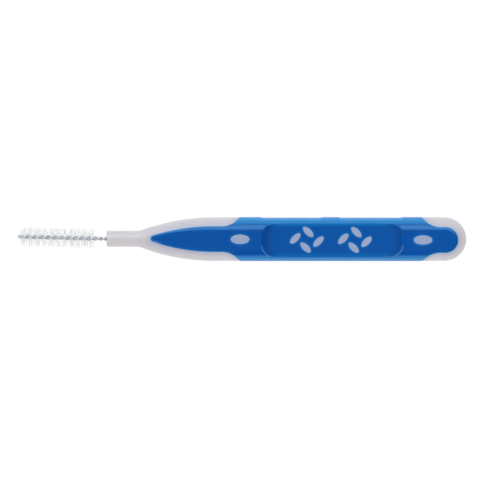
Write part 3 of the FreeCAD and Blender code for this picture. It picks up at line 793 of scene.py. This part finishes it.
scuffs, given, made = shader_group("handling_scuffs", (("Where", "Vector"), ("Scale", "Float")),
                                   ("Scratch",))
bend = node(scuffs, "ShaderNodeMapping", ("Vector", given["Where"]), ("Rotation", (0, 0, 0.9)),
            ("Scale", (1, 0.12, 1)))
lines = node(scuffs, "ShaderNodeTexNoise", ("Vector", bend.outputs[0]), ("Scale", given["Scale"]),
             ("Detail", 1.0))
scratch = node(scuffs, "ShaderNodeMapRange", ("Value", lines.outputs["Fac"]), ("From Min", 0.76),
               ("From Max", 0.82))
scuffs.links.new(scratch.outputs["Result"], made["Scratch"])

blue, tree, shader, where = new_finish("blue_elastomer")
skin = use_group(tree, grain, ("Where", where), ("Scale", 4200.0))
marks = use_group(tree, scuffs, ("Where", where), ("Scale", 2400.0))
colour = blend(tree, skin["Flow"], (0.0006, 0.100, 0.49, 1), (0.0010, 0.118, 0.55, 1))
# Tints from the mesh's layers: thin elastomer and painted light at the edges and pad sides, painted
# light down the full-round sides, painted shade in the scoops, painted highlights on the pad's rim
# and the nose.
for name, tint in (("thin_edge_and_rim_light", (0.006, 0.30, 0.76, 1)), ("side_light", (0.045, 0.37, 0.86, 1)),
                   ("painted_scoop_shade", (0.0012, 0.07, 0.33, 1)), ("painted_glint", (0.22, 0.46, 0.88, 1))):
    colour = blend(tree, layer_of(tree, name), colour, tint)
faint = node(tree, "ShaderNodeMath", (0, marks["Scratch"]), (1, 0.25), operation="MULTIPLY")
colour = blend(tree, faint.outputs[0], colour, (0.25, 0.45, 0.85, 1))
tree.links.new(colour, shader.inputs["Base Color"])
roughen(tree, shader, skin["Grain"], 0.17, 0.29)
emboss(tree, shader, skin["Grain"], 0.12)
shader.inputs["Specular Tint"].default_value = (0.37, 0.84, 1.0, 1)
grip.data.materials.append(blue)
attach(grip, "root")
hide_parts("grip_sleeve")


# ---- Floor, light and camera ---------------------------------------------------------------------
# The brush lies on a plain white table. The camera sees the table as an even white with no shadow,
# and the brush gets less light from it. The walls are bright and the ceiling is dark. Two panels
# beside the brush show in its gloss, and two more, beside and above it, light its colours.

floor_size = 1.2
floor_level = -0.05 * MM
floor_mesh = bpy.data.meshes.new("floor")
floor_mesh.from_pydata([(x * floor_size, y * floor_size, floor_level)
                        for x, y in ((-1, -1), (1, -1), (1, 1), (-1, 1))], [], [(0, 1, 2, 3)])
floor = bpy.data.objects.new("floor", floor_mesh)
bpy.context.scene.collection.objects.link(floor)
paper, tree, shader, where = new_finish("white_table")
mottle = node(tree, "ShaderNodeTexNoise", ("Vector", where), ("Scale", 30.0))
to_camera = node(tree, "ShaderNodeLightPath").outputs["Is Camera Ray"]
pale = blend(tree, mottle.outputs["Fac"], (0.60, 0.60, 0.60, 1), (0.64, 0.64, 0.64, 1))
tree.links.new(blend(tree, to_camera, pale, (0, 0, 0, 1)), shader.inputs["Base Color"])
shader.inputs["Roughness"].default_value = 0.9
shader.inputs["Specular IOR Level"].default_value = 0
glow = blend(tree, to_camera, (0.46, 0.45, 0.46, 1), (1.02, 1.02, 1.02, 1))
tree.links.new(glow, shader.inputs["Emission Color"])
shader.inputs["Emission Strength"].default_value = 1.0
floor_mesh.materials.append(paper)

world = bpy.data.worlds.new("studio")
world.use_nodes = True
bpy.context.scene.world = world
sky = world.node_tree
facing = node(sky, "ShaderNodeTexCoord")
split = node(sky, "ShaderNodeSeparateXYZ", (0, facing.outputs["Generated"]))
height = node(sky, "ShaderNodeValToRGB", ("Fac", split.outputs["Z"]))
height.color_ramp.elements[0].position = 0.25
height.color_ramp.elements[0].color = (0.93, 1.0, 1.06, 1)
height.color_ramp.elements[1].position = 0.54
height.color_ramp.elements[1].color = (0.10, 0.10, 0.105, 1)
beside = node(sky, "ShaderNodeMath", (0, split.outputs["Y"]), operation="ABSOLUTE")
walls_lit = node(sky, "ShaderNodeMath", (0, beside.outputs[0]), (1, 0.7), (2, 0.25),
                 operation="MULTIPLY_ADD")
brush_end = node(sky, "ShaderNodeMath", (0, split.outputs["X"]), (1, -0.1),
                 (2, walls_lit.outputs[0]), operation="MULTIPLY_ADD")
sky.links.new(height.outputs["Color"], sky.nodes["Background"].inputs["Color"])
sky.links.new(brush_end.outputs[0], sky.nodes["Background"].inputs["Strength"])


def panel_light(name, radiance, tint, size, where, seen_in):
    """A rectangular light that faces the brush, seen only in its gloss or only in its shading."""
    light = bpy.data.lights.new(name, "AREA")
    light.shape = "RECTANGLE"
    light.size, light.size_y = size
    light.energy = radiance * math.pi * light.size * light.size_y
    light.color = tint
    panel = bpy.data.objects.new(name, light)
    panel.location = where
    panel.rotation_euler = (-Vector(where)).to_track_quat("-Z", "Y").to_euler()
    panel.visible_glossy = seen_in == "gloss"
    panel.visible_diffuse = seen_in == "shading"
    bpy.context.scene.collection.objects.link(panel)


panel_light("window_gloss", 3.7, (0.9, 1.0, 1.03), (1.2, 0.56), (0, 0.50, 0.733), "gloss")
panel_light("window_edge", 1.0, (0.9, 1.0, 1.03), (1.2, 0.2), (0, 0.23, 0.86), "gloss")
panel_light("window_shade", 1.33, (0.96, 1, 1.05), (1.0, 0.56), (0, 0.45, 0.66), "shading")
panel_light("ceiling_fill", 1.8, (1, 0.985, 0.975), (1.0, 0.8), (0, -0.41, 1.02), "shading")

tilt = math.radians(2.5)
distance = 0.6
view_width = 0.07705            # metres across the view, at the brush
target = (-0.000313, -0.00015, 0.00225)
lens = bpy.data.cameras.new("camera")
lens.sensor_width = 36
lens.lens = lens.sensor_width * distance / view_width
lens.clip_start = 0.01
camera = bpy.data.objects.new("camera", lens)
camera.location = (target[0], target[1] + distance * math.sin(tilt),
                   target[2] + distance * math.cos(tilt))
camera.rotation_euler = (-tilt, 0, 0)
bpy.context.scene.collection.objects.link(camera)
bpy.context.scene.camera = camera
bpy.context.scene.view_settings.view_transform = "Standard"
